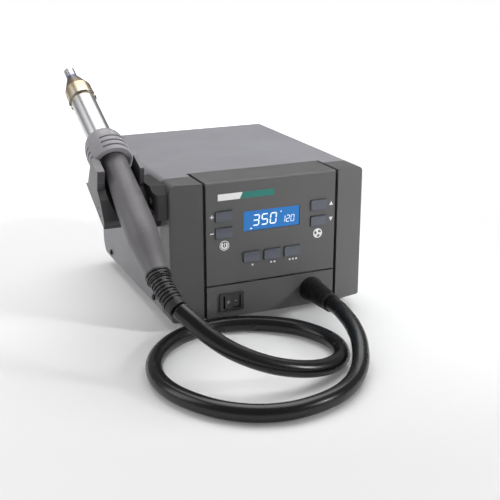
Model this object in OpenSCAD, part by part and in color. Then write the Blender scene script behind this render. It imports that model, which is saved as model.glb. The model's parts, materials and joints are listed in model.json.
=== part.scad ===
// Hot air station: a sheet-metal case with a blower and its electronics inside, a hose, and a heated
// hand piece that rests in a cradle on the left side of the case.
// Frame: millimetres, +Z up, the front faces -Y. The origin is the centre of the case's footprint,
// on the surface that the feet stand on.

/* [Case] */
// Width of the case
case_w = 188; // [170:1:240]
// Depth of the case, from the front panel to the back
case_d = 225; // [210:1:290]
// Height of the case above its feet
case_h = 125; // [120:1:160]
// Thickness of the folded cover
sheet = 1.2; // [0.8:0.1:2]
// Thickness of the base tray and its flanges
tray_t = 1.5; // [1:0.1:2.5]
// Outside radius of the two top bends
bend_r = 7; // [4:0.5:12]
// Outside radius of the rolled lower back edge
roll_r = 18; // [10:1:24]
// Height of the tray's side flanges
flange_h = 14; // [12:1:22]

/* [Feet] */
// Height of the feet
foot_h = 10; // [6:1:16]
// Diameter of the feet
foot_dia = 18; // [12:1:26]
// Distance from the foot centres to the front and back of the case
foot_inset_y = 48; // [32:1:60]
// Distance from the foot centres to the sides of the case
foot_inset_x = 30; // [16:1:40]

/* [Front] */
// Width of the centre panels between the two upright grooves
panel_w = 125.2; // [118:0.2:140]
// Width of the upright grooves
groove_w = 2.8; // [1.5:0.1:4]
// Width of the level groove between the two centre panels
split_w = 1.5; // [0.8:0.1:3]
// Height of the level groove above the case's underside
split_h = 31.5; // [28:0.5:34]
// How far the cheeks sweep back at their outer edges
cheek_sweep = 5.6; // [0:0.2:10]
// Depth of the bezel's sides
bezel_depth = 30; // [22:1:50]
// Depth of the fascia's top lip
lip_depth = 40; // [34:1:60]
// Wall of the bezel
bezel_wall = 2.5; // [1.5:0.1:4]
// Thickness of the centre panels
panel_t = 3; // [2:0.1:4]
// Gap between the back of the centre panels and the web behind them
web_gap = 2; // [1:0.1:3]

/* [Display and buttons] */
// Width of the display window
window_w = 54.5; // [40:0.5:60]
// Height of the display window
window_h = 18.3; // [12:0.1:22]
// Depth of the window's centre below the top of the case
window_drop = 37.6; // [34:0.2:44]
// Width of a button
button_w = 15.7; // [10:0.1:18]
// Height of a button
button_h = 9; // [6:0.1:11]
// How far a button stands out of the fascia
button_proud = 1.8; // [1:0.1:3]
// Depth of the dish across a button's face
button_dish = 0.6; // [0.2:0.1:0.9]
// Travel of a button
button_travel = 1.2; // [0.5:0.1:1.5]
// Clearance around a button
button_gap = 0.3; // [0.2:0.05:0.5]
// Distance of the side buttons' centres from the middle
side_button_x = 46; // [40:0.5:50]
// Distance between two side buttons, one above the other
side_button_pitch = 15; // [12:0.5:18]
// Distance between two buttons of the lower row
row_button_pitch = 20; // [18:0.5:24]
// Depth of the lower row's centres below the top of the case
row_drop = 70; // [64:0.5:74]

/* [Power switch] */
// Distance of the switch from the middle of the panel
switch_x = 39.5; // [30:0.5:45]
// Height of the switch's centre above the case's underside
switch_h = 15; // [12:0.5:18]
// Width of the switch's frame
switch_w = 22.7; // [20:0.1:26]
// Height of the switch's frame
switch_frame_h = 16.6; // [15:0.1:20]
// Width of the rocker
rocker_w = 15.2; // [12:0.1:17]
// Height of the rocker
rocker_h = 11.2; // [9:0.1:13]
// Tilt of the rocker from its middle to each of its two places
rocker_tilt = 8; // [5:0.5:10]

/* [Hose] */
// Diameter of the hose
hose_dia = 14; // [10:0.5:18]
// Distance of the hose outlet from the middle of the panel
outlet_x = 40; // [34:0.5:46]
// Height of the hose outlet above the case's underside
outlet_h = 15; // [12:0.5:18]
// Length of the boot at the panel, with the gland's flange
panel_boot_l = 40; // [25:1:60]
// Diameter of the panel boot's first rib
panel_boot_dia = 21.5; // [18:0.5:28]
// Diameter of both boots' last rib
boot_end_dia = 16.8; // [15:0.2:22]
// Distance between the ribs of the boots
rib_pitch = 3.1; // [2.6:0.1:6]
// Depth of the grooves between the ribs
rib_depth = 0.9; // [0.6:0.1:2]

/* [Hand piece] */
// Rise of the hand piece's axis above the level, towards the nozzle
handle_tilt = 30.7; // [20:0.1:45]
// Distance of the collar's rim behind the front of the case
rest_back = 53.4; // [45:0.2:80]
// Height of the collar's rim, on the axis, above the top of the case
rest_rise = 12.6; // [8:0.2:30]
// Length of the grip, from the hose boot to the collar
grip_l = 129; // [100:1:160]
// Diameter of the grip at its thickest
grip_dia = 27.2; // [24:0.2:29]
// Diameter of the grip at the hose boot
grip_end_dia = 20; // [17:0.5:24]
// Diameter of the grip's neck at the collar
neck_dia = 23; // [20:0.2:25]
// Greatest diameter of the collar
collar_dia = 37.4; // [35:0.2:44]
// Length of the collar
collar_l = 32; // [28:1:50]
// Diameter of the steel heater tube
tube_dia = 22.4; // [18:0.1:24]
// Lean of the collar and heater away from the case, from the grip's axis
head_lean = 3.4; // [0:0.1:4]
// Distance from the collar's rim to the end of the heater tube
tube_reach = 98; // [70:1:130]
// Wall of the heater tube
tube_wall = 0.6; // [0.4:0.1:1.2]
// Length of the nozzle in front of the heater tube
nozzle_l = 30; // [15:1:60]
// Diameter of the nozzle's tip
nozzle_dia = 10; // [6:0.5:14]
// Radial clearance of the nozzle on the heater tube
nozzle_clear = 0.06; // [0.02:0.01:0.1]
// Length of the boot at the hand piece
handle_boot_l = 37; // [30:1:60]
// Bend of the boot at the hand piece, towards the case
handle_boot_bend = 18; // [8:1:30]

/* [Cradle] */
// Width of the cradle's trough
trough_w = 31; // [30:0.5:36]
// Thickness of the cradle's outer cheek
prong_t = 6.5; // [4:0.5:9]
// Thickness of the cradle's inner cheek, against the bracket
inner_prong_t = 3.5; // [3:0.5:9]
// Length of the trough's floor along the hand piece
cradle_l = 56; // [45:1:75]
// Depth of the cradle's underside below the hand piece's axis
cradle_depth = 25; // [22:0.5:30]
// Height of the cheeks' tips above the axis
prong_rise = 9; // [6:0.5:14]
// Thickness of the bracket between the cradle and the case
bracket_t = 13; // [6:0.5:16]

/* [Blower] */
// Radius of the blower's housing
volute_r = 50; // [44:1:52]
// Height of the blower's housing
volute_h = 40; // [34:1:50]
// Diameter of the impeller
impeller_dia = 80; // [60:1:84]
// Number of impeller blades
blades = 14; // [8:1:20]
// Diameter of the motor shaft
shaft_dia = 4; // [3:0.5:6]

/* [Hidden] */
$fn = 64;

eps = 0.01;
gap = 0.3;                          // clearance between pieces that only lie next to each other
front_y = -case_d/2;
rear_y = case_d/2;
under_z = foot_h;                   // underside of the case
top_z = foot_h + case_h;
side_x = case_w/2;
inner_x = side_x - sheet - gap;     // outer face of what stands inside the cover
edge_r = 2;                         // rounding of the cheeks' outer upright edges
low_r = 3.5;                        // rounding of the bezel's lower corners
cavity_x = panel_w/2 + groove_w;    // inner edge of a cheek
lip_t = 2.5;
tray_front_y = front_y + bezel_depth + gap;
tray_h = roll_r + 12;               // height of the tray's back

// Display stack, measured back from the front of the fascia
window_z = top_z - window_drop;
lens_t = 2;
lens_back = 0.6;
board_y = front_y + 12.5;
board_t = 1.6;
tact_depth = 3.5;
button_flange = 1.2;
row_z = top_z - row_drop;
side_button_z = window_z;           // middle of the two side buttons
boss_x = 54;
boss_z = [top_z - 13, top_z - 75];

// Power switch
switch_proud = 1.8;
switch_body_w = 20;
switch_body_h = 13.6;
pivot_in = 3.5;                     // rocker pivot behind the panel's face
pivot_y = front_y + pivot_in;
rocker_crest = 3.6;                 // middle of the rocker's face in front of its pivot
rocker_end = rocker_crest + rocker_w/2*tan(rocker_tilt);
rocker_gap = 0.25;
rocker_reach = sqrt(pow(rocker_w/2, 2) + pow(rocker_end, 2));
rocker_rise = atan(rocker_end/(rocker_w/2));
mouth_w = 2*(rocker_reach*cos(rocker_rise - rocker_tilt) + rocker_gap);
mouth_h = rocker_h + 2*rocker_gap;
pivot_r = 1;
pivot_clear = 0.05;
pivot_l = 0.9;

// Gland and hose
hose_r = hose_dia/2;
bore_r = hose_r - 0.5;
outlet_z = under_z + outlet_h;
gland_r = 8;
gland_t = 2;
gland_l = 14;                       // length of the threaded sleeve behind the panel's face
hose_sides = 10;

// Route of the hose's centreline from the panel boot to the hand piece's boot. It drops to the
// surface, makes a wide loop in front of the case, then a narrower one, and rises to the hand piece.
hose_route = [
    [40, -165, 25], [39, -180, 23.5], [37, -196, 21], [32, -215, 17.5], [24, -233, 13.5],
    [14, -249, 10], [0, -264, 7.5], [-20, -278, 7], [-43, -286, 7], [-67, -288, 7], [-90, -282, 7],
    [-110, -268, 7], [-125, -248, 7], [-135, -225, 7], [-138, -200, 7], [-133, -175, 7],
    [-121, -153, 7], [-103, -135, 7], [-82, -124, 7], [-58, -120, 7], [-34, -124, 7],
    [-12, -135, 7], [6, -151, 7], [17, -171, 7], [21.5, -191, 7], [19, -209, 7], [10, -225, 8],
    [-5, -237, 10], [-23, -243.5, 13], [-42, -245.5, 17.5], [-60, -244, 23], [-77, -239.5, 30],
    [-92, -232.5, 38], [-104, -223, 47], [-113, -212, 56]];

// Hand piece: its own axis runs along local +Z from the hose to the nozzle, the collar's rim is at 0,
// local -Y is up and forward, and local X is the case's X
handle_x = -(side_x + bracket_t + inner_prong_t + trough_w/2);
rest_y = front_y + rest_back;
rest_z = top_z + rest_rise;
tube_r = tube_dia/2;
grip_bore_r = 7.5;
lean_from = 30;                     // pivot of the lean, below the rim
lean_shift = lean_from*sin(head_lean);
collar_wall = 2.4;
neck_end = 4;                       // how far the neck reaches into the collar
collar_full = 12;                   // where the collar is thickest, from its rim
slot_rows = [5, 10.5, 16];
slot_t = 1.8;
slot_sweep = 80;
slot_from = -118;                   // start of the slots that face up and towards the case
boot_r = handle_boot_l/(handle_boot_bend*PI/180);  // radius of the bent boot's centreline
bayonet_at = tube_reach - 7;
bayonet_sweep = 30;
coil_turns = 9;
former_r = 6.2;
mica_t = 0.4;
heater_from = 24;
heater_to = tube_reach - 10;

// Cradle, in the hand piece's own directions
under_slope = 4;                    // rise of the underside along the cradle's length
heel_l = 4.4;                       // reach of the cradle's heel under the collar
prong_l = 22;                       // length of the cheeks' upper edges
bracket_y = front_y + 8;
bracket_l = 52;

// Blower
mount_h = 3;
volute_z = under_z + tray_t + mount_h;
volute_wall = 2;
duct_r = 9;
duct_wall = 1.5;
blower_x = outlet_x - volute_r + duct_r;
blower_y = rear_y - volute_r - 10;
scroll_l = volute_r + 10;           // length of the scroll's straight outlet
motor_r = 13;
motor_h = 16;
backplate_at = 19;
shaft_clear = 0.05;

// Main board
standoff_h = 8;
main_z = under_z + tray_t + standoff_h;
main_w = 108;
main_l = 74;
main_x = -inner_x + 6 + main_w/2;
board_gap = 4.7;                    // from the board to the blower behind it
main_y = blower_y - volute_r - board_gap - main_l/2;

// Screws
screw_r = 1.5;
screw_clear = 0.1;
head_r = 2.8;
head_t = 1.8;
cover_screw_h = 8.4;
cover_screw_y = [front_y + 53.5, rear_y - 30];

// ---------------------------------------------------------------- shared shapes

// Rectangle with round corners, flat
module round_rect(w, h, r) {
    square([w - 2*r, h], center = true);
    square([w, h - 2*r], center = true);
    for (sx = [-1, 1], sy = [-1, 1]) translate([sx*(w/2 - r), sy*(h/2 - r)]) circle(r);
}

// Block with round corners in the X-Z plane, from y0 back to y1
module front_block(x, z, w, h, y0, y1, r = 0.8) {
    translate([x, y1, z]) rotate([90, 0, 0]) linear_extrude(y1 - y0) round_rect(w, h, r);
}

// Cylinder along Y, from y0 back to y1
module bar_y(x, z, r, y0, y1) {
    translate([x, y0, z]) rotate([-90, 0, 0]) cylinder(r = r, h = y1 - y0);
}

// Box given by its two opposite corners
module box(a, b) {
    translate(a) cube(b - a);
}

// Outline of the case seen from the front, inset by d
module case_outline(d) {
    w = side_x - d;
    top = top_z - d;
    bottom = under_z + d;
    r = bend_r - d;
    q = max(low_r - d, 0.5);
    translate([-w + q, bottom]) square([2*(w - q), top - bottom - r]);
    translate([-w, bottom + q]) square([2*w, top - bottom - r - q]);
    translate([-w + r, top - r - eps]) square([2*(w - r), r + eps]);
    for (s = [-1, 1]) {
        translate([s*(w - r), top - r]) circle(r);
        translate([s*(w - q), bottom + q]) circle(q);
    }
}

// Pan-head screw with a cross recess: the head stands on the X-Y plane, the shank points down
module pan_screw(r, l, hr, ht) {
    translate([0, 0, -l]) cylinder(r = r, h = l + eps);
    difference() {
        cylinder(r = hr, h = ht);
        for (a = [0, 90]) rotate(a) box([-hr*0.6, -0.4, ht*0.4], [hr*0.6, 0.4, ht + 1]);
    }
}

// The grip's own directions
module on_handle() {
    translate([handle_x, rest_y, rest_z]) rotate([handle_tilt - 90, 0, 0]) children();
}

// The same for the collar and heater, which lean from a pivot in the grip's neck
module on_head() {
    on_handle() translate([0, 0, -lean_from]) rotate([0, -head_lean, 0])
        translate([0, 0, lean_from]) children();
}

// Half a cosine wave from a to b as u runs from 0 to 1
function ease(a, b, u) = a + (b - a)*(1 - cos(180*u))/2;

// ---------------------------------------------------------------- case

// Solid side view of the tray, inset by d, flat
module tray_side(d) {
    front = tray_front_y - (d > 0 ? 1 : 0);
    top = under_z + tray_h + (d > 0 ? 1 : 0);
    arc_y = rear_y - roll_r;
    arc_z = under_z + roll_r;
    translate([front, under_z + d]) square([arc_y - front, top - under_z - d]);
    translate([arc_y, arc_z]) square([roll_r - d, top - arc_z]);
    intersection() {
        translate([arc_y, under_z + d]) square(roll_r - d);
        translate([arc_y, arc_z]) circle(roll_r - d);
    }
}

module along_x(x0, x1) {
    translate([x0, 0, 0]) rotate([90, 0, 90]) linear_extrude(x1 - x0) children();
}

function foot_places() = [for (sy = [-1, 1], sx = [-1, 1])
    [sx*(side_x - foot_inset_x), sy*(case_d/2 - foot_inset_y)]];
function mount_places() = [for (a = [45, 135, 225, 315])
    [blower_x + 0.8*volute_r*cos(a), blower_y + 0.8*volute_r*sin(a)]];
function standoff_places() = [for (sy = [-1, 1], sx = [-1, 1])
    [main_x + sx*(main_w/2 - 5), main_y + sy*(main_l/2 - 5)]];

module base_tray() {
    color([0.55, 0.56, 0.58]) difference() {
        union() {
            difference() {
                along_x(-inner_x, inner_x) tray_side(0);
                along_x(-inner_x + tray_t, inner_x - tray_t) tray_side(tray_t);
                // the side flanges are lower than the back
                box([-inner_x - 1, tray_front_y - 1, under_z + flange_h],
                    [inner_x + 1, rear_y - roll_r, under_z + tray_h + 1]);
            }
            // raised tab that lies on the bezel's bottom wall
            box([-50, tray_front_y, under_z], [50, tray_front_y + tray_t, under_z + 5]);
            box([-50, tray_front_y - 14, under_z + 5 - tray_t],
                [50, tray_front_y + eps, under_z + 5]);
        }
        for (p = foot_places()) translate([p[0], p[1], under_z - 1])
            cylinder(r = screw_r + screw_clear, h = tray_t + 2);
        for (y = cover_screw_y) translate([-side_x - 1, y, under_z + cover_screw_h])
            rotate([0, 90, 0]) cylinder(r = screw_r + screw_clear, h = case_w + 2);
        for (x = rear_screw_x()) bar_y(x, rear_screw_z(), screw_r + screw_clear, rear_y - 5, rear_y + 1);
        // air slots under the front of the tray
        for (i = [-4:4]) box([i*9 - 3, tray_front_y + 24, under_z - 1],
            [i*9 + 0.5, tray_front_y + 54, under_z + tray_t + 1]);
    }
}

module top_cover() {
    color([0.56, 0.56, 0.60]) difference() {
        translate([0, rear_y, 0]) rotate([90, 0, 0])
            linear_extrude(case_d - bezel_depth - gap) difference() {
                case_outline(0);
                case_outline(sheet);
                translate([-side_x + sheet, under_z - 1]) square([case_w - 2*sheet, low_r + 2]);
            }
        // round lower back corner of both sides
        along_x(-side_x - 1, side_x + 1) translate([rear_y - roll_r, under_z - 1]) difference() {
            square([roll_r + 1, roll_r + 1]);
            translate([0, roll_r + 1]) circle(roll_r);
        }
        // notch for the fascia's lip
        box([-cavity_x, front_y, top_z - bend_r], [cavity_x, front_y + lip_depth + gap, top_z + 1]);
        for (y = cover_screw_y) translate([-side_x - 1, y, under_z + cover_screw_h])
            rotate([0, 90, 0]) cylinder(r = screw_r + screw_clear, h = case_w + 2);
        for (p = bracket_screw_places()) if (p[0] > front_y + bezel_depth)
            translate([-side_x - 1, p[0], p[1]]) rotate([0, 90, 0])
                cylinder(r = 2 + screw_clear, h = sheet + 2);
    }
}

function rear_screw_x() = [-inner_x + 14, inner_x - 14];
function rear_screw_z() = under_z + roll_r + 6;
rear_y1 = rear_y - tray_t;          // outer face of the rear panel
rear_y0 = rear_y1 - sheet;
inlet_x = 58;
inlet_z = under_z + 62;
fuse_x = 58;
fuse_z = under_z + 90;
stud_x = 24;
stud_z = under_z + 62;

module rear_panel() {
    color([0.50, 0.50, 0.53]) difference() {
        union() {
            box([-inner_x + tray_t + gap, rear_y0, under_z + roll_r],
                [inner_x - tray_t - gap, rear_y1, under_z + tray_h + gap + 1]);
            // upper part, with corners that follow the cover's bends
            intersection() {
                box([-inner_x, rear_y0, under_z + tray_h + gap], [inner_x, rear_y1, top_z]);
                translate([0, rear_y, 0]) rotate([90, 0, 0]) linear_extrude(10)
                    case_outline(sheet + gap);
            }
        }
        for (x = rear_screw_x()) {
            bar_y(x, rear_screw_z(), screw_r + screw_clear, rear_y0 - 1, rear_y1 + 1);
        }
        front_block(inlet_x, inlet_z, 28, 20.5, rear_y0 - 1, rear_y1 + 1, 2);
        bar_y(fuse_x, fuse_z, 6.2, rear_y0 - 1, rear_y1 + 1);
        bar_y(stud_x, stud_z, 2 + screw_clear, rear_y0 - 1, rear_y1 + 1);
        // air inlet: two banks of slots
        for (bank = [0, 1], i = [0:7]) {
            x = -inner_x + 22 + bank*38;
            z = under_z + 50 + i*7;
            box([x, rear_y0 - 1, z], [x + 32, rear_y1 + 1, z + 3]);
        }
    }
}

// Bezel's outer form, inset by d: a plan with swept cheeks cut with the case's outline
module bezel_form(d) {
    w = side_x - d;
    slope = cheek_sweep/(side_x - cavity_x);
    turn = atan(slope);
    corner_y = front_y + d + slope*(w - cavity_x);
    cx = w - edge_r;
    cy = front_y + d + slope*(cx - cavity_x) + edge_r/cos(turn);
    back = front_y + bezel_depth + (d > 0 ? 1 : 0);
    intersection() {
        translate([0, 0, under_z - 1]) linear_extrude(case_h + 2) difference() {
            polygon([[-w, back], [-w, corner_y], [-cavity_x, front_y + d], [cavity_x, front_y + d],
                [w, corner_y], [w, back]]);
            if (d == 0) for (s = [0, 1]) mirror([s, 0]) difference() {
                polygon([[cx, cy], [cx + edge_r*sin(turn), cy - edge_r*cos(turn)],
                    [w + 1, corner_y - 1], [w + 1, cy]]);
                translate([cx, cy]) circle(edge_r);
            }
        }
        translate([0, back, 0]) rotate([90, 0, 0]) linear_extrude(back - front_y + 1)
            case_outline(d);
    }
}

module front_bezel() {
    web_y = front_y + panel_t + web_gap;
    rib = bezel_wall;
    color([0.42, 0.42, 0.43]) difference() {
        bezel_form(0);
        difference() {
            bezel_form(bezel_wall);
            box([-cavity_x - rib, front_y - 1, under_z - 1], [cavity_x + rib, web_y + 2, top_z + 1]);
            box([-cavity_x - rib, front_y - 1, top_z - lip_t - 1.2 - rib],
                [cavity_x + rib, rear_y, top_z + 1]);
        }
        // recess for the two centre panels and the lip
        box([-cavity_x, front_y - 1, under_z - 1], [cavity_x, web_y, top_z + 1]);
        box([-cavity_x, front_y - 1, top_z - lip_t - 1.2], [cavity_x, rear_y, top_z + 1]);
        // openings in the web for the display and for the switch and gland
        box([-59, web_y - 1, under_z + split_h + 8], [59, web_y + 3, top_z - 8]);
        box([-59, web_y - 1, under_z + bezel_wall + 1], [59, web_y + 3, under_z + split_h - 3.5]);
        for (p = bracket_screw_places()) if (p[0] < front_y + bezel_depth)
            translate([-side_x - 1, p[0], p[1]]) rotate([0, 90, 0])
                cylinder(r = 2 + screw_clear, h = bezel_wall + 2);
    }
}

// ---------------------------------------------------------------- centre panels and display

// Name and place of each button: side columns, then the lower row
function button_places() = [
    [-side_button_x, side_button_z + side_button_pitch/2],
    [-side_button_x, side_button_z - side_button_pitch/2],
    [side_button_x, side_button_z + side_button_pitch/2],
    [side_button_x, side_button_z - side_button_pitch/2],
    [-row_button_pitch, row_z], [0, row_z], [row_button_pitch, row_z]];

module control_fascia() {
    z0 = under_z + split_h + split_w/2;
    color([0.38, 0.38, 0.39]) difference() {
        union() {
            box([-panel_w/2, front_y, z0], [panel_w/2, front_y + panel_t, top_z]);
            box([-panel_w/2, front_y, top_z - lip_t], [panel_w/2, front_y + lip_depth, top_z]);
            for (s = [-1, 1], z = boss_z) bar_y(s*boss_x, z, 3.5, front_y + panel_t - eps, board_y);
        }
        // small rounding along the top front edge
        along_x(-panel_w/2 - 1, panel_w/2 + 1) translate([front_y - 1, top_z - 1.5]) difference() {
            square([2.5, 2.5]);
            translate([2.5, 0]) circle(1.5);
        }
        front_block(0, window_z, window_w, window_h, front_y - 1, front_y + panel_t + 1, 0.5);
        for (p = button_places()) front_block(p[0], p[1], button_w + 2*button_gap,
            button_h + 2*button_gap, front_y - 1, front_y + panel_t + 1, 1.1);
        for (s = [-1, 1], z = boss_z) bar_y(s*boss_x, z, 1.1, front_y + panel_t, board_y + 1);
    }
}

module connector_panel() {
    z1 = under_z + split_h - split_w/2;
    color([0.36, 0.36, 0.37]) difference() {
        box([-panel_w/2, front_y, under_z], [panel_w/2, front_y + panel_t, z1]);
        front_block(-switch_x, under_z + switch_h, switch_body_w + 0.2, switch_body_h + 0.2,
            front_y - 1, front_y + panel_t + 1, 0.5);
        bar_y(outlet_x, outlet_z, gland_r + 0.2, front_y - 1, front_y + panel_t + 1);
    }
}

module lcd_window() {
    color([0.12, 0.38, 0.75, 0.9]) {
        front_block(0, window_z, window_w - 0.3, window_h - 0.3, front_y + lens_back,
            front_y + panel_t + 0.1 + eps, 0.4);
        front_block(0, window_z, window_w + 4, window_h + 4, front_y + panel_t + 0.1,
            front_y + panel_t + 1.1, 0.8);
    }
}

module lcd_module() {
    y0 = front_y + panel_t + 1.3;
    color([0.75, 0.77, 0.78]) difference() {
        front_block(0, window_z, window_w + 7, window_h + 7, y0, board_y, 1);
        front_block(0, window_z, window_w, window_h, y0 - 1, y0 + 0.5, 0.5);
    }
}

module display_board() {
    color([0.05, 0.32, 0.16]) difference() {
        box([-58, board_y, boss_z[1] - 5], [58, board_y + board_t, boss_z[0] + 5]);
        for (s = [-1, 1], z = boss_z) bar_y(s*boss_x, z, 1.6, board_y - 1, board_y + board_t + 1);
    }
}

module tact_switches() {
    color([0.08, 0.08, 0.09]) for (p = button_places())
        front_block(p[0], p[1], 6, 6, board_y - tact_depth, board_y, 0.4);
}

module button(i) {
    p = button_places()[i];
    back = front_y + panel_t;
    stem_end = board_y - tact_depth - button_travel - 0.3;
    dish_r = (pow(button_h, 2)/4 + pow(button_dish, 2))/(2*button_dish);
    color([0.30, 0.30, 0.34]) {
        difference() {
            front_block(p[0], p[1], button_w, button_h, front_y - button_proud, back + 0.1 + eps, 0.8);
            translate([p[0] - button_w, front_y - button_proud + button_dish - dish_r, p[1]])
                rotate([0, 90, 0]) cylinder(r = dish_r, h = 2*button_w);
        }
        front_block(p[0], p[1], button_w + 2.4, button_h + 2.4, back + 0.1,
            back + 0.1 + button_flange, 1);
        bar_y(p[0], p[1], 2, back + button_flange, stem_end);
    }
}

// ---------------------------------------------------------------- power switch

module switch_housing() {
    z = under_z + switch_h;
    color([0.07, 0.07, 0.075]) difference() {
        union() {
            front_block(-switch_x, z, switch_w, switch_frame_h, front_y - switch_proud, front_y, 1);
            front_block(-switch_x, z, switch_body_w, switch_body_h, front_y - eps, front_y + 16, 0.4);
            for (sx = [-1, 1], sz = [-1, 1])
                front_block(-switch_x + sx*5, z + sz*3, 0.8, 4.8, front_y + 15.9, front_y + 24, 0.1);
        }
        front_block(-switch_x, z, mouth_w, mouth_h, front_y - switch_proud - 1, front_y + 9, 0.3);
        translate([-switch_x, pivot_y, z - rocker_h/2 - pivot_l - 0.2])
            cylinder(r = pivot_r + pivot_clear, h = rocker_h + 2*pivot_l + 0.4);
    }
}

// The rocker is drawn in its "on" place, with its right-hand end pressed in
module power_rocker() {
    z = under_z + switch_h;
    color([0.10, 0.10, 0.105]) translate([-switch_x, pivot_y, z]) rotate(rocker_tilt) {
        translate([0, 0, -rocker_h/2]) linear_extrude(rocker_h) polygon([
            [-rocker_w/2, -rocker_end], [0, -rocker_crest], [rocker_w/2, -rocker_end],
            [rocker_w/2 - 0.4, 0], [3, 3.6], [-3, 3.6], [-rocker_w/2 + 0.4, 0]]);
        translate([0, 0, -rocker_h/2 - pivot_l]) cylinder(r = pivot_r, h = rocker_h + 2*pivot_l);
    }
}

// ---------------------------------------------------------------- gland, boots and hose

module hose_gland() {
    color([0.10, 0.10, 0.10]) difference() {
        union() {
            bar_y(outlet_x, outlet_z, panel_boot_dia/2 + 0.8, front_y - gland_t, front_y);
            bar_y(outlet_x, outlet_z, gland_r, front_y - eps, front_y + gland_l);
        }
        bar_y(outlet_x, outlet_z, bore_r, front_y - gland_t - 1, front_y + gland_l + 1);
    }
}

module gland_nut() {
    color([0.14, 0.14, 0.14]) difference() {
        translate([outlet_x, front_y + panel_t, outlet_z]) rotate([-90, 0, 0])
            cylinder(r = 12, h = 4, $fn = 6);
        bar_y(outlet_x, outlet_z, gland_r + 0.05, front_y, front_y + 10);
    }
}

// Number of ribs on a boot of length l, and the radius of a rib at the share u of the boot's length
function rib_count(l) = floor((l - 3)/rib_pitch);
function boot_radius(r0, u) = r0 + (boot_end_dia/2 - r0)*u;

module panel_hose_boot() {
    l = panel_boot_l - gland_t;
    n = rib_count(l);
    r0 = panel_boot_dia/2;
    rib = 0.55*rib_pitch;
    comb = [for (i = [0:n - 1], k = [0:3]) let (
            r = boot_radius(r0, i/n),
            z = i*rib_pitch)
        k == 0 ? [r, z] : k == 1 ? [r, z + rib] : k == 2 ? [r - rib_depth, z + rib] :
        [r - rib_depth, z + rib_pitch]];
    color([0.09, 0.09, 0.09]) translate([outlet_x, front_y - gland_t, outlet_z]) rotate([90, 0, 0])
        rotate_extrude() polygon(concat([[bore_r, 0]], comb,
            [[boot_end_dia/2, n*rib_pitch], [boot_end_dia/2, l], [bore_r, l]]));
}

// Frame of the bent boot at the angle a of its bend
module along_bend(a) {
    translate([boot_r, 0, -grip_l]) rotate([0, -a, 0]) translate([-boot_r, 0, 0]) children();
}

module handle_hose_boot() {
    n = rib_count(handle_boot_l);
    step = handle_boot_bend*rib_pitch/handle_boot_l;
    r0 = grip_end_dia/2 - 1;
    cuff_l = handle_boot_l - n*rib_pitch;
    color([0.09, 0.09, 0.09]) on_handle() difference() {
        union() {
            for (i = [0:n - 1]) {
                // the first two ribs are a thicker double ring at the grip
                r = i < 2 ? grip_end_dia/2 + 0.3 : boot_radius(r0, i/n);
                along_bend(i*step) {
                    translate([0, 0, -0.55*rib_pitch]) cylinder(r = r, h = 0.55*rib_pitch);
                    translate([0, 0, -rib_pitch - 0.5]) cylinder(r = r - rib_depth, h = rib_pitch + 0.5);
                    rotate(90*(i%2)) translate([-r + 0.3, -1.6, -rib_pitch - 0.3])
                        cube([2*r - 0.6, 3.2, rib_pitch]);
                }
            }
            along_bend(handle_boot_bend) cylinder(r = boot_end_dia/2, h = cuff_l);
        }
        translate([boot_r, 0, -grip_l]) rotate([90, 0, 0]) rotate(180 - 1) rotate_extrude(
            angle = handle_boot_bend + 2) translate([boot_r, 0]) circle(5);
    }
}

// Local place and heading of the bent boot's end, and the same in the case's frame
function from_handle(p) = [p[0],
    p[1]*sin(handle_tilt) + p[2]*cos(handle_tilt),
    -p[1]*cos(handle_tilt) + p[2]*sin(handle_tilt)];
boot_end = [handle_x, rest_y, rest_z] + from_handle([boot_r*(1 - cos(handle_boot_bend)), 0,
    -grip_l - boot_r*sin(handle_boot_bend)]);
boot_heading = from_handle([sin(handle_boot_bend), 0, -cos(handle_boot_bend)]);
hose_start = [outlet_x, front_y - panel_boot_l, outlet_z];
hose_points = concat([hose_start], hose_route, [boot_end]);

function unit(v) = v/norm(v);
function hose_heading(i) = i == 0 ? [0, -1, 0] : i == len(hose_points) - 1 ? -boot_heading :
    unit(hose_points[i + 1] - hose_points[i - 1]);
function hose_ring(i) = let (
        t = hose_heading(i),
        side = unit(cross(t, [0, 0, 1])),
        up = cross(side, t))
    [for (k = [0:hose_sides - 1]) let (a = 360*(k + 0.5)/hose_sides)
        hose_points[i] + hose_r*(cos(a)*side + sin(a)*up)];

module air_hose() {
    n = len(hose_points);
    m = hose_sides;
    rings = [for (i = [0:n - 1]) each hose_ring(i)];
    skin = [for (i = [0:n - 2], k = [0:m - 1]) let (j = (k + 1)%m)
        each [[i*m + k, (i + 1)*m + k, (i + 1)*m + j], [i*m + k, (i + 1)*m + j, i*m + j]]];
    caps = [[for (k = [0:m - 1]) k], [for (k = [m - 1:-1:0]) (n - 1)*m + k]];
    color([0.08, 0.08, 0.085]) polyhedron(points = rings, faces = concat(skin, caps));
}

// ---------------------------------------------------------------- hand piece

module grip_shell() {
    mid = -grip_l + 50;
    lower = [for (i = [0:10]) [ease(grip_end_dia, grip_dia, i/10)/2, -grip_l + 50*i/10]];
    upper = [for (i = [1:14]) let (u = i/14)
        [ease(grip_dia, neck_dia, u)/2, mid + (-mid - 4)*u]];
    color([0.46, 0.46, 0.47]) on_handle() rotate_extrude()
        polygon(concat([[grip_bore_r, -grip_l]], lower, upper,
            [[neck_dia/2, neck_end], [grip_bore_r, neck_end]]));
}

// Outer radius of the collar at the distance s from its rim
function collar_r(s) = s < collar_full ?
    collar_dia/2 - 0.9*pow((collar_full - s)/collar_full, 2) :
    tube_r + 0.4 + (collar_dia/2 - tube_r - 0.4)*sqrt(1 - pow((s - collar_full)/(collar_l - collar_full), 2));

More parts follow.
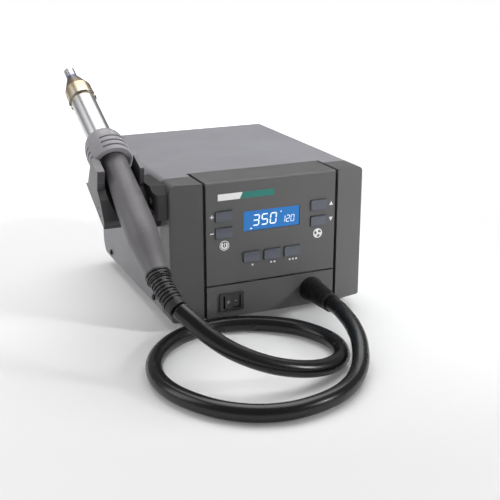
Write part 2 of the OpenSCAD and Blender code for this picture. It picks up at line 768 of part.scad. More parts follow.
module heater_collar() {
    low = [for (i = [0:6]) let (s = gap + (collar_full - gap)*i/6) [collar_r(s), s]];
    dome = [for (i = [1:12]) let (s = collar_full + (collar_l - collar_full)*sin(90*i/12))
        [collar_r(s), s]];
    mouth_r = neck_dia/2 + lean_shift + gap;
    hollow_r = collar_dia/2 - 0.9 - collar_wall;
    shoulder = collar_full + 7;
    color([0.56, 0.56, 0.57]) on_head() difference() {
        rotate_extrude() polygon(concat([[mouth_r, gap]], low, dome,
            [[tube_r + 0.1, collar_l], [tube_r + 0.1, shoulder],
            [hollow_r, shoulder], [hollow_r, gap + 2], [mouth_r, gap + 2]]));
        for (s = slot_rows, a = [0:120:240]) rotate(slot_from + a)
            rotate_extrude(angle = slot_sweep)
                translate([hollow_r - 1, s - slot_t/2]) square([collar_wall + 4, slot_t]);
    }
}

module heater_tube() {
    color([0.80, 0.80, 0.80]) on_head() {
        difference() {
            translate([0, 0, collar_full + 1]) cylinder(r = tube_r, h = tube_reach - collar_full - 1);
            cylinder(r = tube_r - tube_wall, h = tube_reach + 1);
        }
        for (a = [0, 180]) rotate(a) translate([tube_r - tube_wall + 0.05, 0, bayonet_at])
            rotate([0, 90, 0]) cylinder(r = 1, h = tube_wall + 0.85);
    }
}

module mica_sleeve() {
    r = tube_r - tube_wall - 0.2;
    color([0.72, 0.66, 0.52]) on_head() difference() {
        translate([0, 0, heater_from]) cylinder(r = r, h = heater_to - heater_from);
        cylinder(r = r - mica_t, h = tube_reach);
    }
}

module heater_former() {
    end_r = tube_r - tube_wall - 0.25 - mica_t;
    color([0.90, 0.88, 0.83]) on_head() difference() {
        union() {
            translate([0, 0, heater_from]) cylinder(r = former_r, h = heater_to - heater_from);
            for (s = [heater_from, heater_to - 2]) translate([0, 0, s]) cylinder(r = end_r, h = 2);
        }
        for (a = [0:60:300]) rotate(a) {
            translate([3.6, 0, 0]) cylinder(r = 1, h = tube_reach);
            translate([end_r - 0.2, 0, 0]) cylinder(r = 1.6, h = tube_reach);
        }
    }
}

// Heating wire: a round wire wound as a helix on the former
module heater_coil() {
    wire = 0.55;
    r = former_r + wire + 0.1;
    steps = 16;
    sides = 5;
    z0 = heater_from + 3;
    z1 = heater_to - 3;
    n = coil_turns*steps;
    ring = [for (i = [0:n], k = [0:sides - 1]) let (
            a = 360*i/steps,
            b = 360*k/sides,
            q = r + wire*cos(b))
        [q*cos(a), q*sin(a), z0 + (z1 - z0)*i/n + wire*sin(b)]];
    skin = [for (i = [0:n - 1], k = [0:sides - 1]) let (j = (k + 1)%sides)
        each [[i*sides + k, (i + 1)*sides + j, (i + 1)*sides + k], [i*sides + k, i*sides + j,
            (i + 1)*sides + j]]];
    caps = [[for (k = [sides - 1:-1:0]) k], [for (k = [0:sides - 1]) n*sides + k]];
    color([0.45, 0.42, 0.40]) on_head() polyhedron(points = ring, faces = concat(skin, caps));
}

module nozzle() {
    ri = tube_r + nozzle_clear;
    ro = ri + 1.1;
    s0 = tube_reach - 13;
    s1 = tube_reach + 0.4;
    tip = tube_reach + nozzle_l;
    tip_r = nozzle_dia/2;
    color([0.74, 0.74, 0.74]) on_head() difference() {
        rotate_extrude() polygon([[ri, s0], [ro + 0.7, s0], [ro + 0.7, s0 + 1.5], [ro, s0 + 1.5],
            [ro, s1 + 1], [tip_r, tip - 10], [tip_r, tip], [tip_r - 1, tip], [tip_r - 1, tip - 10],
            [ri - 1, s1], [ri, s1]]);
        // bayonet slots: in from the edge, then round, with the pins at the far end
        for (a = [0, 180]) rotate(a) {
            rotate(-bayonet_sweep - 7) rotate_extrude(angle = 14)
                translate([tube_r - 0.5, s0 - 1]) square([4, bayonet_at - s0 + 2.2]);
            rotate(-bayonet_sweep - 7) rotate_extrude(angle = bayonet_sweep + 14)
                translate([tube_r - 0.5, bayonet_at - 1.3]) square([4, 2.6]);
        }
    }
}

module handle_board() {
    w = sqrt(pow(grip_bore_r, 2) - pow(board_t/2, 2)) - 0.05;
    color([0.05, 0.32, 0.16]) on_handle() box([-w, -board_t/2, -60], [w, board_t/2, -10]);
}

module sleep_magnet() {
    color([0.70, 0.70, 0.72]) on_handle() translate([0, board_t/2, -18]) rotate([-90, 0, 0])
        cylinder(r = 3, h = 3);
}

// ---------------------------------------------------------------- cradle

// The cradle is drawn in the hand piece's directions, where local -Y is up and forward
module holder_cradle() {
    w = trough_w/2 + prong_t;
    inner_w = trough_w/2 + inner_prong_t;
    seat = -collar_dia/2*sin(head_lean);  // rear faces of the cheeks, just clear of the leaning rim
    color([0.16, 0.16, 0.17]) on_handle() intersection() {
        difference() {
            box([-w, -prong_rise - 4, -cradle_l - 1], [inner_w, cradle_depth + 1, heel_l + 1]);
            translate([0, 0, -cradle_l - 2]) cylinder(r = trough_w/2, h = cradle_l + heel_l + 4);
            box([-trough_w/2, -prong_rise - 5, -cradle_l - 2], [trough_w/2, 0, heel_l + 2]);
            // two small screw holes in the outer cheek
            for (p = [[0.62*cradle_l, cradle_depth - 8.5], [0.76*cradle_l, cradle_depth - 6]])
                translate([-w - 1, p[1], -p[0]]) rotate([0, 90, 0]) cylinder(r = 1.1, h = 4);
        }
        // side view of the cheeks and floor, with a heel under the collar
        rotate([0, -90, 0]) translate([0, 0, -inner_w - 1]) linear_extrude(w + inner_w + 2) polygon([
            [seat, -prong_rise], [seat, collar_dia/2 + 2*gap], [heel_l, cradle_depth],
            [-cradle_l, cradle_depth - under_slope],
            [-cradle_l + 2, cradle_depth - under_slope - 6.5], [-cradle_l + 19, 6],
            [-cradle_l + 29, 3.5], [-prong_l, -prong_rise - 2], [-prong_l + 1, -prong_rise - 3]]);
    }
}

function bracket_screw_places() = [for (p = [[5, -13], [5, -22], [bracket_l - 9, -14], [bracket_l - 14, -28]])
    [bracket_y + p[0], top_z + p[1]]];
function screw_sink(p) = p[0] > front_y + bezel_depth ? 2.4 : 0;

module holder_bracket() {
    x0 = -side_x - bracket_t;
    nose_r = 0.45*bracket_t;
    color([0.15, 0.15, 0.16]) difference() {
        intersection() {
            along_x(x0, -side_x) polygon([[bracket_y, top_z - 30], [bracket_y, top_z - 8],
                [bracket_y + 7, top_z - 1], [bracket_y + bracket_l - 4, top_z - 1],
                [bracket_y + bracket_l, top_z - 14], [bracket_y + bracket_l - 12, top_z - 42],
                [bracket_y + 22, top_z - 42], [bracket_y + 14, top_z - 30]]);
            // round front edge
            translate([0, 0, top_z - 50]) linear_extrude(50) {
                translate([x0 + nose_r, bracket_y + nose_r]) circle(nose_r);
                translate([x0 + nose_r, bracket_y]) square([bracket_t - nose_r, bracket_l]);
                translate([x0, bracket_y + nose_r]) square([bracket_t, bracket_l - nose_r]);
            }
        }
        for (p = bracket_screw_places()) translate([x0, p[0], p[1]]) rotate([0, 90, 0]) {
            translate([0, 0, -1]) cylinder(r = 2 + screw_clear, h = bracket_t + 2);
            if (screw_sink(p) > 0) translate([0, 0, -1]) cylinder(r = 3.4, h = 1 + screw_sink(p));
        }
        // pocket for the reed switch, open towards the case
        box([-side_x - 6, bracket_y + 14, top_z - 26], [-side_x + 1, bracket_y + 36, top_z - 20]);
    }
}

module holder_screws() {
    color([0.20, 0.20, 0.21]) for (p = bracket_screw_places())
        translate([-side_x - bracket_t + screw_sink(p), p[0], p[1]]) rotate([0, -90, 0])
            pan_screw(2, bracket_t - screw_sink(p) + bezel_wall + 2, 3, 1.8);
}

module reed_switch() {
    color([0.55, 0.62, 0.60]) translate([-side_x - 3, bracket_y + 15.5, top_z - 23]) rotate([-90, 0, 0]) {
        cylinder(r = 1.3, h = 14);
        translate([0, 0, -1.2]) cylinder(r = 0.4, h = 18);
    }
}

// ---------------------------------------------------------------- blower

module at_blower() {
    translate([blower_x, blower_y, volute_z]) children();
}

scroll_z = outlet_z - volute_z;     // middle of the scroll's outlet in the housing

module blower_housing() {
    color([0.13, 0.13, 0.14]) at_blower() difference() {
        union() {
            cylinder(r = volute_r, h = volute_h - 2);
            box([volute_r - 2*duct_r, -scroll_l, scroll_z - duct_r],
                [volute_r, 0, scroll_z + duct_r]);
        }
        translate([0, 0, volute_wall]) cylinder(r = volute_r - volute_wall, h = volute_h);
        translate([volute_r - duct_r, 1, scroll_z]) rotate([90, 0, 0])
            cylinder(r = duct_r - duct_wall, h = scroll_l + 2);
    }
}

module blower_cover() {
    color([0.14, 0.14, 0.15]) at_blower() translate([0, 0, volute_h - 2]) difference() {
        union() {
            cylinder(r = volute_r, h = 2);
            cylinder(r = 26, h = 4);
        }
        translate([0, 0, -1]) cylinder(r = 23, h = 7);
    }
}

module blower_motor() {
    color([0.60, 0.60, 0.62]) at_blower() translate([0, 0, volute_wall]) difference() {
        union() {
            cylinder(r = motor_r, h = motor_h - 3);
            cylinder(r = 5, h = motor_h);
        }
        translate([0, 0, 2]) cylinder(r = shaft_dia/2 + shaft_clear, h = motor_h);
    }
}

module motor_shaft() {
    color([0.75, 0.75, 0.76]) at_blower() translate([0, 0, volute_wall + 2.2])
        cylinder(r = shaft_dia/2, h = 26);
}

module impeller() {
    r = impeller_dia/2;
    color([0.82, 0.82, 0.80]) at_blower() translate([0, 0, backplate_at]) difference() {
        union() {
            cylinder(r = r, h = 1.6);
            cylinder(r = 7, h = 9);
            for (i = [0:blades - 1]) rotate(360*i/blades) translate([r*0.62, 0, 1.5])
                rotate(38) box([-r*0.30, -0.7, 0], [r*0.30, 0.7, 14]);
        }
        translate([0, 0, -1]) cylinder(r = shaft_dia/2, h = 12);
    }
}

module blower_mounts() {
    color([0.08, 0.08, 0.08]) for (p = mount_places())
        translate([p[0], p[1], under_z + tray_t]) cylinder(r = 5, h = mount_h);
}

module outlet_duct() {
    y0 = front_y + gland_l;
    color([0.80, 0.80, 0.76]) difference() {
        bar_y(outlet_x, outlet_z, duct_r, y0, blower_y - scroll_l);
        bar_y(outlet_x, outlet_z, duct_r - duct_wall, y0 - 1, blower_y - scroll_l + 1);
    }
}

// ---------------------------------------------------------------- electronics

module main_board() {
    color([0.05, 0.34, 0.17]) difference() {
        translate([main_x - main_w/2, main_y - main_l/2, main_z]) cube([main_w, main_l, board_t]);
        for (p = standoff_places()) translate([p[0], p[1], main_z - 1]) cylinder(r = 1.6, h = 4);
    }
}

module board_standoffs() {
    color([0.76, 0.66, 0.36]) for (p = standoff_places()) translate([p[0], p[1], under_z + tray_t]) {
        cylinder(r = 3, h = standoff_h, $fn = 6);
        cylinder(r = 1.5, h = standoff_h + board_t + 1);
        translate([0, 0, standoff_h + board_t]) cylinder(r = 2.8, h = 1.6);
    }
}

module transformer() {
    z = main_z + board_t;
    color([0.55, 0.40, 0.22]) translate([main_x - 26, main_y + 6, z]) {
        difference() {
            translate([-20, -8, 0]) cube([40, 16, 34]);
            for (s = [-1, 1]) translate([s*10 - 4, -9, 6]) cube([8, 18, 22]);
        }
        difference() {
            translate([-13.5, -15, 6.5]) cube([27, 30, 21]);
            translate([-14.5, -8, 5.5]) cube([4.6, 16, 24]);
            translate([-6, -8, 5.5]) cube([12, 16, 24]);
            translate([9.9, -8, 5.5]) cube([4.6, 16, 24]);
        }
    }
}

sink_x = main_x + 26;
sink_y = main_y + 8;

module heat_sink() {
    z = main_z + board_t;
    color([0.62, 0.63, 0.65]) translate([sink_x, sink_y, z]) {
        box([-2, -24, 0], [2, 24, 32]);
        for (i = [0:8]) box([1.9, -24 + i*5.75, 0], [16, -22 + i*5.75, 32]);
    }
}

module triac() {
    color([0.12, 0.12, 0.12]) translate([sink_x - 2, sink_y, main_z + board_t]) {
        box([-4.6, -5, 5], [0, 5, 20]);
        for (i = [-1:1]) box([-2.8, i*2.5 - 0.4, 0], [-2, i*2.5 + 0.4, 5.1]);
    }
}

module capacitors() {
    z = main_z + board_t;
    color([0.16, 0.20, 0.42]) for (p = [[-40, -22, 8, 25], [-20, -24, 6, 18], [-2, -24, 5, 14]])
        translate([main_x + p[0], main_y + p[1], z]) cylinder(r = p[2], h = p[3]);
}

module mains_inlet() {
    color([0.08, 0.08, 0.085]) difference() {
        union() {
            front_block(inlet_x, inlet_z, 50, 23, rear_y1, rear_y1 + 3, 3);
            front_block(inlet_x, inlet_z, 27.6, 20, rear_y0 - 14, rear_y1 + eps, 2);
        }
        front_block(inlet_x, inlet_z, 24, 16, rear_y1 - 12, rear_y1 + 4, 2);
        for (s = [-1, 1]) bar_y(inlet_x + s*20, inlet_z, 1.7, rear_y1 - 1, rear_y1 + 4);
    }
    color([0.80, 0.72, 0.45]) for (p = [[-7, -2], [0, 2], [7, -2]])
        front_block(inlet_x + p[0], inlet_z + p[1], 2, 4, rear_y1 - 12.1, rear_y1 - 4, 0.2);
}

module fuse_holder() {
    color([0.09, 0.09, 0.09]) {
        bar_y(fuse_x, fuse_z, 8, rear_y1, rear_y1 + 3);
        bar_y(fuse_x, fuse_z, 6, rear_y0 - 28, rear_y1 + 0.1);
        difference() {
            bar_y(fuse_x, fuse_z, 5.5, rear_y1 + 2.9, rear_y1 + 9);
            box([fuse_x - 6, rear_y1 + 7.5, fuse_z - 0.7], [fuse_x + 6, rear_y1 + 10, fuse_z + 0.7]);
        }
    }
}

module earth_stud() {
    color([0.80, 0.70, 0.40]) {
        bar_y(stud_x, stud_z, 2, rear_y0 - 6, rear_y1 + 12);
        translate([stud_x, rear_y1, stud_z]) rotate([-90, 0, 0]) cylinder(r = 4.2, h = 3.2, $fn = 6);
        translate([stud_x, rear_y0 - 3.2, stud_z]) rotate([-90, 0, 0])
            cylinder(r = 4.2, h = 3.2, $fn = 6);
    }
}

// ---------------------------------------------------------------- feet and screws

module foot(i) {
    p = foot_places()[i];
    color([0.07, 0.07, 0.07]) translate([p[0], p[1], 0]) difference() {
        rotate_extrude() polygon([[0, 0], [foot_dia/2 - 1.5, 0], [foot_dia/2 - 0.5, 1],
            [foot_dia/2, foot_h], [0, foot_h]]);
        translate([0, 0, -1]) cylinder(r = 3.2, h = foot_h - 2);
        cylinder(r = screw_r + screw_clear, h = foot_h + 1);
    }
}

module foot_screws() {
    color([0.70, 0.70, 0.71]) for (p = foot_places()) translate([p[0], p[1], foot_h - 3])
        rotate([180, 0, 0]) pan_screw(screw_r, 3 + tray_t + 3, head_r, head_t);
}

module cover_screws() {
    color([0.16, 0.16, 0.17]) for (s = [-1, 1], y = cover_screw_y)
        translate([s*side_x, y, under_z + cover_screw_h]) rotate([0, s*90, 0])
            pan_screw(screw_r, 7, head_r, head_t);
}

module rear_screws() {
    color([0.16, 0.16, 0.17]) for (x = rear_screw_x())
        translate([x, rear_y, rear_screw_z()]) rotate([-90, 0, 0])
            pan_screw(screw_r, 7, head_r, head_t);
    color([0.70, 0.70, 0.71]) for (s = [-1, 1]) translate([inlet_x + s*20, rear_y1 + 3, inlet_z])
        rotate([-90, 0, 0]) pan_screw(screw_r, 2.9, head_r, head_t);
}

// ---------------------------------------------------------------- nodes

base_tray();
top_cover();
rear_panel();
front_bezel();
control_fascia();
connector_panel();
lcd_window();
lcd_module();
display_board();
tact_switches();
button(0);  // button_plus
button(1);  // button_minus
button(2);  // button_up
button(3);  // button_down
button(4);  // button_preset_1
button(5);  // button_preset_2
button(6);  // button_preset_3
switch_housing();
power_rocker();
hose_gland();
gland_nut();
panel_hose_boot();
air_hose();
handle_hose_boot();
grip_shell();
heater_collar();
heater_tube();
mica_sleeve();
heater_former();
heater_coil();
nozzle();
handle_board();
sleep_magnet();
holder_cradle();
holder_bracket();
holder_screws();
reed_switch();
blower_housing();
blower_cover();
blower_motor();
motor_shaft();
impeller();
blower_mounts();
outlet_duct();
main_board();
board_standoffs();
transformer();
heat_sink();
triac();
capacitors();
mains_inlet();
fuse_holder();
earth_stud();
foot(0);  // foot_front_left
foot(1);  // foot_front_right
foot(2);  // foot_rear_left
foot(3);  // foot_rear_right
foot_screws();
cover_screws();
rear_screws();
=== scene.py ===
import json
import math

import bmesh
import bpy
from mathutils import Matrix, Vector


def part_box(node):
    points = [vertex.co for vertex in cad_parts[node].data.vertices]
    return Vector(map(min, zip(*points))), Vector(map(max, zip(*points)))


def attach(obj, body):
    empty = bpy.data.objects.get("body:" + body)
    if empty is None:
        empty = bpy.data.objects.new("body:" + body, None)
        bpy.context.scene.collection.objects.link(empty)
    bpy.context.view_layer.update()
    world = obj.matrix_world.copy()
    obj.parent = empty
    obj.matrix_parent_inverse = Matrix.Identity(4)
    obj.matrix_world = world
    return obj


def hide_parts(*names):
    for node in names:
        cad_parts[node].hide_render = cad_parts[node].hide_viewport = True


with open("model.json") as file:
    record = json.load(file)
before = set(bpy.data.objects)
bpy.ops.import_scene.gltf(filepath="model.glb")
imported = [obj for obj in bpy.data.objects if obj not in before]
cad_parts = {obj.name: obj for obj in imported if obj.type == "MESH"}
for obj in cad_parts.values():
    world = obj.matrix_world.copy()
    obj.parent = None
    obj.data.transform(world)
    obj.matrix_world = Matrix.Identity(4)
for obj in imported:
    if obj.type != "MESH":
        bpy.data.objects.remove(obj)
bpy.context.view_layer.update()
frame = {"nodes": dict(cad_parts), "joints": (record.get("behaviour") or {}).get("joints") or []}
nodes = frame["nodes"]
scene = bpy.context.scene


# ---- Camera and studio
# A bench-top product set: a pale floor, an even white surround, and broad soft lamps above, one to the
# right and one to the left, so the top of the case is bright and the front falls off into shade.

camera_data = bpy.data.cameras.new("camera")
camera_data.lens = 69.0
camera_data.sensor_width = 36.0
camera = bpy.data.objects.new("camera", camera_data)
camera.location = (-0.3444, -0.8484, 0.3393)
camera.rotation_euler = Vector((0.3812, 0.8684, -0.3170)).to_track_quat("-Z", "Y").to_euler()
scene.collection.objects.link(camera)
scene.camera = camera
scene.view_settings.view_transform = "Standard"


def new_material(name):
    """A node material and its Principled shader."""
    material = bpy.data.materials.new(name)
    material.use_nodes = True
    return material, material.node_tree.nodes["Principled BSDF"]


def new_object(name, mesh):
    piece = bpy.data.objects.new(name, mesh)
    scene.collection.objects.link(piece)
    return piece


def soft_lamp(name, place, aim, size, power, spread=180.0):
    lamp_data = bpy.data.lights.new(name, "AREA")
    lamp_data.shape = "RECTANGLE"
    lamp_data.size, lamp_data.size_y = size
    lamp_data.energy = power
    lamp_data.spread = math.radians(spread)
    lamp = bpy.data.objects.new(name, lamp_data)
    lamp.location = place
    lamp.rotation_euler = (Vector(aim) - Vector(place)).to_track_quat("-Z", "Y").to_euler()
    scene.collection.objects.link(lamp)


soft_lamp("top_lamp", (0.25, 0.45, 1.5), (0.0, 0.0, 0.1), (1.8, 1.4), 24.0)
soft_lamp("right_lamp", (0.95, -0.85, 0.62), (0.16, -0.11, 0.13), (0.35, 0.35), 0.50, spread=26.0)
soft_lamp("left_lamp", (-1.5, 0.4, 0.9), (0.0, 0.0, 0.1), (0.8, 1.2), 7.0)

world = bpy.data.worlds.new("studio")
world.use_nodes = True
surround = world.node_tree.nodes["Background"]
surround.inputs["Color"].default_value = (1.0, 1.0, 1.0, 1.0)
seen = world.node_tree.nodes.new("ShaderNodeLightPath")
strength = world.node_tree.nodes.new("ShaderNodeMapRange")
strength.inputs["To Min"].default_value = 0.235
strength.inputs["To Max"].default_value = 1.0
world.node_tree.links.new(seen.outputs["Is Camera Ray"], strength.inputs["Value"])
world.node_tree.links.new(strength.outputs["Result"], surround.inputs["Strength"])
scene.world = world

floor_mesh = bpy.data.meshes.new("floor")
floor_half, floor_z = 12.0, -0.0001
floor_corners = [(x * floor_half, y * floor_half, floor_z) for x, y in ((-1, -1), (1, -1), (1, 1), (-1, 1))]
floor_mesh.from_pydata(floor_corners, [], [(0, 1, 2, 3)])
floor = new_object("floor", floor_mesh)
floor_material, floor_shader = new_material("pale_floor")
floor_shader.inputs["Base Color"].default_value = (0.80, 0.80, 0.80, 1.0)
floor_shader.inputs["Emission Color"].default_value = (1.0, 1.0, 1.0, 1.0)
# Further out the floor glows, as a lit sweep does, so that it runs into the surround without an edge.
floor_place = floor_material.node_tree.nodes.new("ShaderNodeTexCoord")
floor_reach = floor_material.node_tree.nodes.new("ShaderNodeVectorMath")
floor_reach.operation = "LENGTH"
floor_glow = floor_material.node_tree.nodes.new("ShaderNodeMapRange")
floor_glow.interpolation_type = "SMOOTHSTEP"
for name, value in (("From Min", 0.25), ("From Max", 1.1), ("To Min", 0.10), ("To Max", 0.80)):
    floor_glow.inputs[name].default_value = value
floor_link = floor_material.node_tree.links.new
floor_link(floor_place.outputs["Object"], floor_reach.inputs[0])
floor_link(floor_reach.outputs["Value"], floor_glow.inputs["Value"])
floor_link(floor_glow.outputs["Result"], floor_shader.inputs["Emission Strength"])
floor_shader.inputs["Roughness"].default_value = 0.7
floor_shader.inputs["Specular IOR Level"].default_value = 0.2
floor_mesh.materials.append(floor_material)


# ---- Air hose
# A black silicone hose that carries the blown air and the heater's wires from the case to the hand
# piece. It drops to the bench, lies in one wide loop and one narrower one, and rises to the grip.

hose_diameter = 0.014
hose_route = [
    (0.040, -0.1525, 0.025), (0.040, -0.165, 0.025), (0.039, -0.180, 0.0235), (0.037, -0.196, 0.021),
    (0.032, -0.215, 0.0175), (0.024, -0.233, 0.0135), (0.014, -0.249, 0.010), (0.0, -0.264, 0.0075),
    (-0.020, -0.278, 0.007), (-0.043, -0.286, 0.007), (-0.067, -0.288, 0.007), (-0.090, -0.282, 0.007),
    (-0.110, -0.268, 0.007), (-0.125, -0.248, 0.007), (-0.135, -0.225, 0.007), (-0.138, -0.200, 0.007),
    (-0.133, -0.175, 0.007), (-0.121, -0.153, 0.007), (-0.103, -0.135, 0.007), (-0.082, -0.124, 0.007),
    (-0.058, -0.120, 0.007), (-0.034, -0.124, 0.007), (-0.012, -0.135, 0.007), (0.006, -0.151, 0.007),
    (0.017, -0.171, 0.007), (0.0215, -0.191, 0.007), (0.019, -0.209, 0.007), (0.010, -0.225, 0.008),
    (-0.005, -0.237, 0.010), (-0.023, -0.2435, 0.013), (-0.042, -0.2455, 0.0175), (-0.060, -0.244, 0.023),
    (-0.077, -0.2395, 0.030), (-0.092, -0.2325, 0.038), (-0.104, -0.223, 0.047), (-0.113, -0.212, 0.056),
    (-0.1202, -0.2013, 0.0632),
]


def smooth_route(points, steps):
    """A Catmull-Rom line through the points, with its ends kept."""
    ends = [points[0] * 2 - points[1]] + points + [points[-1] * 2 - points[-2]]
    line = []
    for a, b, c, d in zip(ends, ends[1:], ends[2:], ends[3:]):
        for i in range(steps):
            t = i / steps
            line.append(0.5 * (2 * b + (c - a) * t + (2 * a - 5 * b + 4 * c - d) * t * t
                               + (3 * b - 3 * c + d - a) * t**3))
    return line + [points[-1]]


def tube_mesh(name, line, radius, sides):
    """A closed tube along a line, its rings carried along without twisting."""
    headings = [(b - a).normalized() for a, b in zip(line, line[1:])]
    headings = [headings[0]] + [(a + b).normalized() for a, b in zip(headings, headings[1:])] + [headings[-1]]
    across = headings[0].orthogonal().normalized()
    turns = [2 * math.pi * i / sides for i in range(sides)]
    shape = bmesh.new()
    rings = []
    for place, heading in zip(line, headings):
        across = (across - heading * across.dot(heading)).normalized()
        upright = heading.cross(across)
        spokes = [math.cos(a) * across + math.sin(a) * upright for a in turns]
        rings.append([shape.verts.new(place + radius * spoke) for spoke in spokes])
    for low, high in zip(rings, rings[1:]):
        for i in range(sides):
            j = (i + 1) % sides
            shape.faces.new((low[i], low[j], high[j], high[i])).smooth = True
    shape.faces.new(reversed(rings[0]))
    shape.faces.new(rings[-1])
    mesh = bpy.data.meshes.new(name)
    shape.to_mesh(mesh)
    shape.free()
    return mesh


hose_line = smooth_route([Vector(p) for p in hose_route], 8)
hose = new_object("air_hose_smooth", tube_mesh("air_hose_smooth", hose_line, hose_diameter / 2, 28))
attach(hose, "station")
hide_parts("air_hose")


# Surface grain, a node group for every moulded, painted or rubber piece: a fine texture for the
# height, a slow mottle for the tone, a roughness that is polished where the mottle is high, and a few
# hairline rubs, long along one direction, that are lighter than the rest.


def build_grain_group():
    group = bpy.data.node_groups.new("surface_grain", "ShaderNodeTree")
    face = group.interface
    for name, value in (
        ("Grain Scale", 1500.0), ("Mottle Scale", 20.0), ("Roughness Low", 0.4), ("Roughness High", 0.6),
        ("Rub Amount", 0.0),
    ):
        socket = face.new_socket(name=name, in_out="INPUT", socket_type="NodeSocketFloat")
        socket.default_value = value
    for name, default in (
        ("Dark", (0.1, 0.1, 0.1, 1.0)), ("Light", (0.2, 0.2, 0.2, 1.0)), ("Rub Color", (0.5, 0.5, 0.5, 1.0)),
    ):
        socket = face.new_socket(name=name, in_out="INPUT", socket_type="NodeSocketColor")
        socket.default_value = default
    face.new_socket(name="Color", in_out="OUTPUT", socket_type="NodeSocketColor")
    face.new_socket(name="Roughness", in_out="OUTPUT", socket_type="NodeSocketFloat")
    face.new_socket(name="Height", in_out="OUTPUT", socket_type="NodeSocketFloat")
    tree, link = group.nodes, group.links.new
    given, result = tree.new("NodeGroupInput"), tree.new("NodeGroupOutput")
    place = tree.new("ShaderNodeTexCoord")
    fine, slow = tree.new("ShaderNodeTexNoise"), tree.new("ShaderNodeTexNoise")
    fine.inputs["Detail"].default_value = 2.0
    slow.inputs["Detail"].default_value = 4.0
    slow.inputs["Roughness"].default_value = 0.6
    link(place.outputs["Object"], fine.inputs["Vector"])
    link(place.outputs["Object"], slow.inputs["Vector"])
    link(given.outputs["Grain Scale"], fine.inputs["Scale"])
    link(given.outputs["Mottle Scale"], slow.inputs["Scale"])
    spread = tree.new("ShaderNodeMapRange")
    spread.inputs["From Min"].default_value = 0.32
    spread.inputs["From Max"].default_value = 0.68
    link(slow.outputs["Fac"], spread.inputs["Value"])
    blend = tree.new("ShaderNodeMath")
    blend.operation = "MULTIPLY_ADD"
    blend.inputs[1].default_value = 0.5
    link(fine.outputs["Fac"], blend.inputs[0])
    half = tree.new("ShaderNodeMath")
    half.operation = "MULTIPLY"
    half.inputs[1].default_value = 0.5
    link(spread.outputs["Result"], half.inputs[0])
    link(half.outputs["Value"], blend.inputs[2])
    mix = tree.new("ShaderNodeMix")
    mix.data_type = "RGBA"
    link(blend.outputs["Value"], mix.inputs["Factor"])
    link(given.outputs["Dark"], mix.inputs["A"])
    link(given.outputs["Light"], mix.inputs["B"])
    stretch = tree.new("ShaderNodeMapping")
    stretch.inputs["Rotation"].default_value = (0.5, 0.3, 0.9)
    stretch.inputs["Scale"].default_value = (25.0, 700.0, 700.0)
    link(place.outputs["Object"], stretch.inputs["Vector"])
    hairs = tree.new("ShaderNodeTexNoise")
    hairs.inputs["Scale"].default_value = 1.0
    hairs.inputs["Detail"].default_value = 1.0
    link(stretch.outputs["Vector"], hairs.inputs["Vector"])
    sparse = tree.new("ShaderNodeMapRange")
    sparse.inputs["From Min"].default_value = 0.66
    sparse.inputs["From Max"].default_value = 0.76
    link(hairs.outputs["Fac"], sparse.inputs["Value"])
    rub = tree.new("ShaderNodeMath")
    rub.operation = "MULTIPLY"
    link(sparse.outputs["Result"], rub.inputs[0])
    link(given.outputs["Rub Amount"], rub.inputs[1])
    rubbed = tree.new("ShaderNodeMix")
    rubbed.data_type = "RGBA"
    link(rub.outputs["Value"], rubbed.inputs["Factor"])
    link(mix.outputs["Result"], rubbed.inputs["A"])
    link(given.outputs["Rub Color"], rubbed.inputs["B"])
    link(rubbed.outputs["Result"], result.inputs["Color"])
    rough = tree.new("ShaderNodeMapRange")
    link(spread.outputs["Result"], rough.inputs["Value"])
    link(given.outputs["Roughness High"], rough.inputs["To Min"])
    link(given.outputs["Roughness Low"], rough.inputs["To Max"])
    link(rough.outputs["Result"], result.inputs["Roughness"])
    link(fine.outputs["Fac"], result.inputs["Height"])
    return group


grain_group = build_grain_group()


def grained(name, dark, light, rough, grain=1500.0, depth=0.00003, mottle=20.0, metallic=0.0, coat=0.0,
            rub=0.0, rub_tone=2.0):
    """A material on the grain group: its tones, roughness range, grain scale and depth, and rubs."""
    material, shader = new_material(name)
    tree, link = material.node_tree.nodes, material.node_tree.links.new
    surface = tree.new("ShaderNodeGroup")
    surface.node_tree = grain_group
    surface.inputs["Grain Scale"].default_value = grain
    surface.inputs["Mottle Scale"].default_value = mottle
    surface.inputs["Roughness Low"].default_value = rough[0]
    surface.inputs["Roughness High"].default_value = rough[1]
    surface.inputs["Dark"].default_value = (*dark, 1.0)
    surface.inputs["Light"].default_value = (*light, 1.0)
    surface.inputs["Rub Amount"].default_value = rub
    surface.inputs["Rub Color"].default_value = (*(min(rub_tone * tone, 0.9) for tone in light), 1.0)
    bump = tree.new("ShaderNodeBump")
    bump.inputs["Strength"].default_value = 1.0
    bump.inputs["Distance"].default_value = depth
    link(surface.outputs["Color"], shader.inputs["Base Color"])
    link(surface.outputs["Roughness"], shader.inputs["Roughness"])
    link(surface.outputs["Height"], bump.inputs["Height"])
    link(bump.outputs["Normal"], shader.inputs["Normal"])
    shader.inputs["Metallic"].default_value = metallic
    shader.inputs["Coat Weight"].default_value = coat
    shader.inputs["Coat Roughness"].default_value = 0.15
    return material


def grey(value, tint=(1.0, 1.0, 1.0)):
    """A linear grey from 0 to 1, with a slight tint."""
    return tuple(value * t for t in tint)


hose_material = grained("hose_silicone", grey(0.003), grey(0.006), (0.24, 0.30), grain=600.0, depth=0.000001,
                        mottle=25.0)
hose.data.materials.append(hose_material)


# ---- Case
# The cover is a folded steel sheet with a fine grey powder coat, screwed to a zinc-plated tray. The
# rear panel is a coated plate with the mains socket, the fuse and the air slots.


